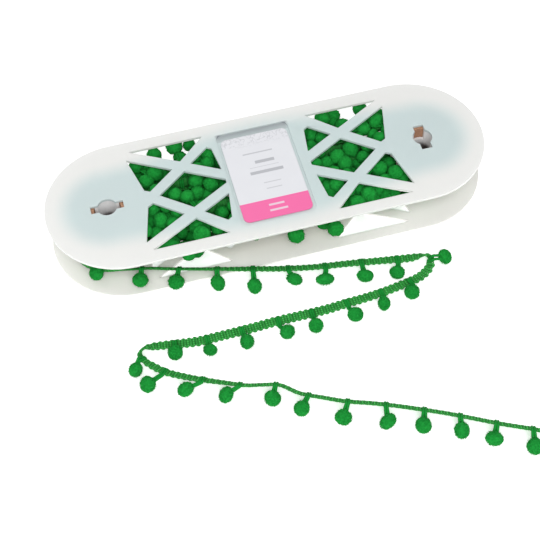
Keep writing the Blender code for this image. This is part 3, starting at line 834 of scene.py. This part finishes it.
def make_wound_braid():
    """Band: sideways = half width (0.93 + 0.07 cos(2 pi s / scallop)), the other way on the other edge, and
    lift = half thickness (0.45 + 0.55 |cos(pi s / rib step)|)."""
    skin = Skin()
    stations = int(wound.length / RIB_STEP * 3)
    along = np.linspace(0, wound.length, stations)
    middle, out, face = wound.frame(along)
    wave = np.cos(2 * math.pi * along / SCALLOP)
    rib = np.abs(np.cos(math.pi * along / RIB_STEP))
    half_width = BRAID_WIDTH / 2 * (0.93 + 0.07 * wave[:, None] * np.sign(BAND_SECTION[:, 0]))
    half_thick = BRAID_THICKNESS / 2 * (0.45 + 0.55 * rib)
    sideways = half_width * BAND_SECTION[:, 0]
    lift = half_thick[:, None] * BAND_SECTION[:, 1]
    points = middle[:, None] + sideways[..., None] * out[:, None] + lift[..., None] * face[:, None]
    sides = len(BAND_SECTION)
    points = np.concatenate([points.reshape(-1, 3), middle[[0, -1]]])
    # Painted shade: the band is darker between the ribs and lighter on their tops
    tone = np.concatenate([np.repeat(0.03 + 0.17 * rib, sides), [0.15, 0.15]])
    faces = ring_faces(stations, sides, along, (stations * sides, stations * sides + 1))
    skin.add(points, tone, *faces)
    braid = skin.make("wound_braid", braid_yarn)
    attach(braid, "root")
    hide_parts("trim_wound")
    return braid


wound_braid = make_wound_braid()

# %% [markdown]
# ## Balls in the heap
#
# The balls on the wound braid fill the heap. Those that show in the windows are set one by one where the
# picture has them. Each takes the nearest stalk on the spiral. The rest start at the end of their own stalks
# and are then pushed apart, over and over, until they only press on each other, as soft balls in a full reel
# do.

# %% Balls that show in the windows
# Columns: spot in the picture across and down, height of the middle, radius
SHOWN_BALLS = np.array((
    (154, 155, 18, 3.9), (174, 146, 19, 4.4), (189, 145, 18, 3.3), (180, 158, 15, 3.6),
    (136, 167, 19, 3.8), (155, 173, 20, 4.1), (146, 182, 20, 4.0), (163, 177, 16, 3.6), (145, 170, 14, 3.6),
    (208, 155, 20, 3.7), (207, 164, 19, 4.2), (198, 161, 16, 3.5),
    (196, 181, 19, 4.0), (211, 184, 20, 4.1), (175, 195, 20, 3.9), (187, 197, 20, 3.7), (198, 193, 18, 3.7),
    (207, 196, 16, 3.5), (168, 188, 13, 3.6), (184, 178, 12, 3.6),
    (153, 210, 20, 3.9), (161, 221, 20, 4.2), (157, 234, 17, 3.8),
    (222, 212, 18, 3.7), (226, 203, 16, 3.2),
    (197, 226, 19, 4.0), (202, 235, 20, 4.4), (171, 246, 19, 4.0), (195, 203, 14, 3.6), (181, 232, 13, 3.6),
    (322, 119, 19, 4.0), (333, 116, 16, 3.8), (343, 126, 17, 4.1), (360, 109, 18, 3.8), (379, 115, 13, 3.5),
    (332, 124, 14, 3.6), (367, 122, 14, 3.6), (358, 164, 14, 3.6), (341, 143, 13, 3.6), (307, 128, 14, 3.6),
    (311, 135, 19, 3.7), (322, 139, 19, 3.7), (311, 147, 18, 3.6),
    (363, 129, 20, 3.9), (376, 121, 20, 4.2), (373, 135, 18, 3.2),
    (350, 149, 20, 4.3), (337, 157, 20, 4.0), (345, 164, 20, 3.9), (326, 163, 18, 4.0), (363, 157, 18, 3.6),
    (329, 151, 15, 3.7),
    (379, 169, 20, 4.3), (389, 164, 17, 3.8), (395, 172, 20, 3.9), (401, 178, 17, 3.4),
    (337, 185, 20, 4.0), (327, 187, 18, 3.6), (330, 195, 17, 3.5),
    (359, 190, 18, 3.7), (368, 194, 19, 4.1), (357, 203, 19, 4.3), (377, 189, 17, 3.6), (384, 195, 14, 3.6),
    (373, 199, 14, 3.6), (393, 193, 13, 3.5),
    (189, 254, 13, 3.4), (296, 235, 12, 4.3), (335, 228, 12, 4.1), (137, 177, 14, 3.4),
))
shown_centres = seen_at(*SHOWN_BALLS[:, :3].T)
print("balls set by hand:", len(shown_centres))

# %% Filling the heap
PITCH = 16.5  # of the stalks along the wound braid
STALK_LENGTH = 6.5  # from the braid's edge to the ball's middle
STALK_REACH = 9.0  # and at most, but for the balls set one by one
BALL_RADII = (3.4, 4.0)
CORE_RADIUS = 9.2
SQUEEZE = 0.9  # how near two balls come, as a share of their radii


def keep_inside(balls, radii):
    """Moves balls back between the plates, inside the heap's edge, and off the cores."""
    balls[:, 2] = np.clip(balls[:, 2], HEAP_LOW + 0.95 * radii, HEAP_HIGH + 0.2 - 0.95 * radii)
    balls[:, 0] = np.clip(balls[:, 0], -HUB_X - HEAP_OUTER + radii, HUB_X + HEAP_OUTER - radii)
    room = heap_edge(balls[:, 0]) + 0.5 - 0.8 * radii
    balls[:, 1] = np.clip(balls[:, 1], front_dent(balls[:, 0]) - room, room)
    for hub in (-HUB_X, HUB_X):
        way = balls[:, :2] - (hub, 0)
        distance = np.linalg.norm(way, axis=1) + 1e-9
        beyond = balls[:, 0] * np.sign(hub) > HUB_X
        wanted = np.maximum(distance, CORE_RADIUS + 0.9 * radii)
        wanted = np.where(beyond, np.minimum(wanted, HEAP_OUTER + 0.5 - 0.7 * radii), wanted)
        balls[:, :2] += way * (wanted / distance - 1)[:, None]
    return balls


def settle(balls, radii, roots, fixed, rounds=70):
    """Pushes touching balls apart by half their overlap, then keeps each near its stalk's root."""
    free = ~fixed
    touch = SQUEEZE * (radii[:, None] + radii)
    for _ in range(rounds):
        between = balls[:, None] - balls
        distance = np.linalg.norm(between, axis=2) + 1e3 * np.eye(len(balls))
        push = np.clip(touch - distance, 0, None) / distance / 2
        move = (between * push[..., None]).sum(axis=1)
        balls[free] += move[free]
        way = balls - roots
        length = np.linalg.norm(way, axis=1, keepdims=True)
        held = roots + way * np.minimum(1, STALK_REACH / length)
        balls[free] = keep_inside(held[free], radii[free])
    return balls


def fill_heap():
    distances = np.arange(PITCH / 2, wound.length - PITCH / 2, PITCH)
    distances = distances + rng.uniform(-1, 1, len(distances))
    middle, out, _ = wound.frame(distances)
    roots = middle + BRAID_WIDTH / 2 * out
    radii = rng.uniform(*BALL_RADII, len(roots))
    balls = keep_inside(roots + STALK_LENGTH * out + rng.normal(scale=0.6, size=roots.shape), radii)
    fixed = np.zeros(len(roots), bool)
    for centre, radius in zip(shown_centres, SHOWN_BALLS[:, 3]):
        gap = np.linalg.norm(roots - centre, axis=1) + 1e3 * fixed
        taken = gap.argmin()
        fixed[taken] = True
        balls[taken] = centre
        radii[taken] = radius
    return distances, roots, settle(balls, radii, roots, fixed), radii, fixed


stalk_distances, stalk_roots, heap_balls, heap_radii, heap_shown = fill_heap()
reaches = np.linalg.norm(heap_balls - stalk_roots, axis=1)
print("balls in the heap:", len(heap_balls), "longest stalk:", round(float(reaches.max()), 1), "mm")

# %% [markdown]
# There are a few hundred balls, so a hidden one has a coarse grid of about a hundred faces and a few hairs. The
# ones in the windows have a finer grid with tufts that show.

# %% The wound balls
SHOWN_GRID = ball_grid(22, 32)
HIDDEN_GRID = ball_grid(9, 12)


def make_heap(name, chosen, grid, tufts, height, hairs):
    skin = Skin()
    for k in np.flatnonzero(chosen):
        centre, radius = heap_balls[k], heap_radii[k]
        axes = ball_axes(unit(centre - stalk_roots[k] + (0, 1e-3, 0)))
        half_sizes = radius * np.array((1.04, 0.97, 1.0))
        lay_ball(skin, grid, centre, axes, half_sizes, tufts, height, shade=rng.uniform(-0.15, 0.1))
        lay_fuzz(skin, centre, axes, half_sizes, hairs)
        lay_stalk(skin, wound, stalk_distances[k], centre, radius, steps=8, sides=4)
    heap = skin.make(name, pile_yarn)
    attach(heap, "root")
    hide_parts("trim_wound")
    return heap


shown_heap = make_heap("wound_pompoms_shown", heap_shown, SHOWN_GRID, 150, 0.08, 200)
hidden_heap = make_heap("wound_pompoms", ~heap_shown, HIDDEN_GRID, 60, 0.05, 20)

# %% [markdown]
# ## The reel
#
# The plates are milky moulded plastic. Their edges are slightly round and catch the light. Over the heap the
# plate is painted darker and blue-green, a painted shade and see-through light of the green heap that fades
# towards the rim. The edges are a bevel on a merged copy of each plate. The cast is worked out from the
# distance to the heap's edge, so it sits on the plate and stays there from any side.

# %% Milky plastic
RIM_COLOR = linear(226, 226, 224)
# Painted shade and see-through light: the plate's colour over the heap
HEAP_SHOW_THROUGH_SHADE = linear(199, 213, 213)
POCKET_SHADOW_COLOR = linear(150, 156, 160)
MILKY = {"Specular_IOR_Level": 0.4, "Subsurface_Weight": 0.5, "Subsurface_Radius": (1, 1, 1),
         "Subsurface_Scale": 3 * MM}
POCKET_X = (-20.0, 17.6)
POCKET_Y = (25.2, 29.7)
EDGE_ROUND = 0.22


def plastic_finish(name, rim, cast, pocket=False):
    """Cast: 1 inside the heap's edge and 0 well outside, from the distance sqrt(dx^2 + y^2) - half width."""
    finish = Finish(name, 0.42, **MILKY)
    across = finish.place.math("ABSOLUTE", finish.axis(0))
    past_hub = finish.place.math("MAXIMUM", across - HUB_X, 0.0)
    before_hub = finish.place.math("MINIMUM", across, HUB_X)
    bulge = finish.place.math("COSINE", before_hub * (math.pi / 2 / HUB_X)) ** 2.0
    y = finish.axis(1)
    distance = finish.place.math("SQRT", past_hub * past_hub + y * y)
    beyond = distance - HEAP_OUTER - bulge * HEAP_BULGE
    mottle = finish.noise(14.0, 2.0)
    # Painted light and shade: over the heap the plate is painted darker and blue-green, as the heap would show
    # through
    color = beyond.ramp(7.0, -6.0).mix(rim, cast)
    # Painted shadow in the label pocket above the card, darkest under the pocket's upper wall
    if pocket:
        strip = finish.axis(0).between(*POCKET_X, soft=1.2) * y.between(*POCKET_Y, soft=0.4)
        shade = strip * (0.45 + 0.55 * y.ramp(POCKET_Y[0], POCKET_Y[1]))
        color = shade.mix(color, POCKET_SHADOW_COLOR)
    finish.color(color)
    finish.rough(0.36 + mottle * 0.12)
    finish.relief(finish.noise(0.7, 3.0), 0.02)
    return finish.material


def round_edges(node, name, material):
    """A merged copy of a plate with its sharp edges made slightly round. Points nearer than a bevel is wide
    would stop the bevel everywhere, so they are merged too."""
    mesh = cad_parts[node].data.copy()
    shape = bmesh.new()
    shape.from_mesh(mesh)
    bmesh.ops.remove_doubles(shape, verts=shape.verts, dist=EDGE_ROUND * MM)
    bmesh.ops.dissolve_limit(shape, angle_limit=math.radians(1), verts=shape.verts, edges=shape.edges)
    shape.to_mesh(mesh)
    shape.free()
    mesh.materials.clear()
    mesh.materials.append(material)
    plate = new_object(name, mesh)
    bevel = plate.modifiers.new("round", "BEVEL")
    bevel.width = EDGE_ROUND * MM
    bevel.segments = 2
    bevel.limit_method = "ANGLE"
    bevel.angle_limit = math.radians(50)
    mesh.shade_smooth()
    mesh.set_sharp_from_angle(angle=math.radians(40))
    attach(plate, "root")
    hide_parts(node)
    return plate


top_plastic = plastic_finish("plate_plastic", RIM_COLOR, HEAP_SHOW_THROUGH_SHADE, pocket=True)
# Painted shade: the lower plate is a little darker inside the heap's edge, under the heap
low_plastic = plastic_finish("lower_plastic", linear(243, 239, 236), linear(240, 234, 230))
upper_plate = round_edges("flange_top", "upper_plate", top_plastic)
lower_plate = round_edges("flange_bottom", "lower_plate", low_plastic)
print("plates:", upper_plate.name, lower_plate.name)

# %% [markdown]
# ## Hubs and label
#
# The solid model's posts, board tubes and label have the right shape, so they stay and only get a finish. The
# posts get painted shade: they are painted darker deep inside. The board is brown kraft with fibres. The label
# is plain coated card with a pink band, a few grey rules, white dashes and a faint marbled border, all drawn
# from the place on the card.

# %% Post and board finishes
POST_SHADE_FADES = (12.5, 16.5)  # heights between which the painted shade deep in a post fades to its light colour


def post_finish():
    finish = Finish("post_plastic", 0.4, Specular_IOR_Level=0.4)
    # Painted shade: dark deep in the post, light near its top
    depth = finish.axis(2).ramp(*POST_SHADE_FADES)
    finish.color(depth.mix(linear(62, 42, 38), linear(238, 238, 238)))
    finish.relief(finish.noise(0.8), 0.03)
    return finish.material


def board_finish():
    """Kraft board: fibres drawn out round the tube, on a brown that varies."""
    finish = Finish("kraft_board", 0.9, Specular_IOR_Level=0.15)
    stretch = {"Vector": finish.place, "Scale": (1.0, 1.0, 6.0)}
    drawn = finish.place.node("ShaderNodeMapping", (), stretch)
    fibres = finish.noise(0.9, 4.0, drawn)
    finish.color((fibres * 1.3 - 0.15).mix(linear(138, 98, 76), linear(210, 164, 134)))
    finish.relief(fibres, 0.08)
    return finish.material


def give_finish(material, *nodes):
    for node in nodes:
        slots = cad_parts[node].data.materials
        slots.clear()
        slots.append(material)


give_finish(post_finish(), "post_left", "post_right")
give_finish(board_finish(), "core_left", "core_right")
print("hub finishes set")

# %% The label's finish
BAND_TOP = -17.0
CARD = linear(224, 225, 229)
CARD_SHADE = linear(219, 220, 225)
BAND = linear(238, 104, 164)
RULE = linear(140, 142, 148)
# Grey rules on the card. Columns: low x, high x, y, half thickness, how dark
RULES = (
    (-9.5, 5.9, 13.4, 0.4, 0.45),
    (-4.6, 5.4, 7.3, 0.95, 0.6),
    (-8.1, 6.9, 4.0, 0.12, 0.5),
    (-8.6, 8.4, 0.6, 0.95, 0.6),
    (-3.6, 5.4, -6.6, 0.3, 0.35),
    (-3.1, 4.9, -10.4, 0.3, 0.35),
)
# White dashes on the band. Columns: low x, high x, y, half thickness
DASHES = ((-4.6, 3.2, -20.6, 0.6), (-4.9, 4.2, -24.0, 0.6))


def label_finish():
    finish = Finish("label_card", 0.35, Specular_IOR_Level=0.45)
    x, y = finish.axis(0), finish.axis(1)
    card = finish.noise(9.0).mix(CARD, CARD_SHADE)
    for low, high, middle, half, dark in RULES:
        mark = x.between(low, high) * y.between(middle - half, middle + half, soft=0.12) * dark
        card = mark.mix(card, RULE)
    border = finish.noise(2.2, 3.0).between(0.5, 0.56, soft=0.03) * y.ramp(17.0, 22.0) * 0.3
    card = border.mix(card, RULE)
    band = BAND
    for low, high, middle, half in DASHES:
        dash = x.between(low, high) * y.between(middle - half, middle + half, soft=0.12) * 0.7
        band = dash.mix(band, CARD)
    pink = y.ramp(BAND_TOP + 0.1, BAND_TOP - 0.1)
    finish.color(pink.mix(card, band))
    finish.relief(finish.noise(0.3), 0.01)
    return finish.material


give_finish(label_finish(), "label")
print("label rules:", len(RULES))

# %% [markdown]
# ## Floor and light
#
# The picture is a bright product shot: a white table that glows a little, and light from all round with hardly
# a shadow. A pale sky lights every side. A broad lamp near the camera reaches in under the upper plate, because
# it lights just what the camera sees, and a weaker one above the back gives the balls a lighter top. Colours
# are shown as they are, with the plain Standard view: a film-like view would grey the table and the pink band.

# %% Floor and light
TABLE_GLOW = 0.45
TABLE_HALF = 3.0  # metres


def make_floor():
    mesh = bpy.data.meshes.new("floor")
    corners = np.array(((-1, -1, 0), (1, -1, 0), (1, 1, 0), (-1, 1, 0))) * TABLE_HALF
    mesh.from_pydata(corners.tolist(), [], [(0, 1, 2, 3)])
    finish = Finish("floor_white", 0.9, Specular_IOR_Level=0.0, Base_Color=(0.93, 0.93, 0.93, 1),
                    Emission_Color=(1, 1, 1, 1), Emission_Strength=TABLE_GLOW)
    mesh.materials.append(finish.material)
    floor = new_object("floor", mesh)
    return floor


def make_light(name, place, size, watts):
    light = bpy.data.lights.new(name, "AREA")
    light.size = size
    light.energy = watts
    lamp = new_object(name, light)
    away = unit(np.array(place))
    side = unit(np.cross((0.0, 1.0, 0.0), away))
    turn = Matrix(np.column_stack([side, np.cross(away, side), away]).tolist()).to_4x4()
    lamp.matrix_world = Matrix.Translation(place) @ turn
    return lamp


def make_sky(strength):
    world = bpy.data.worlds.new("studio")
    world.use_nodes = True
    background = world.node_tree.nodes["Background"]
    background.inputs["Color"].default_value = (1, 1, 1, 1)
    background.inputs["Strength"].default_value = strength
    bpy.context.scene.world = world


make_floor()
make_light("lamp_above", (-0.3, 0.5, 1.3), 1.2, 6)
make_light("lamp_front", (-0.1, -0.85, 0.95), 0.8, 10)
make_sky(0.45)
bpy.context.scene.view_settings.view_transform = "Standard"
print("studio ready")

# %% [markdown]
# ## The end

# The finished pieces have to stay in the solid model's box.

# %% The end
print("scene built")
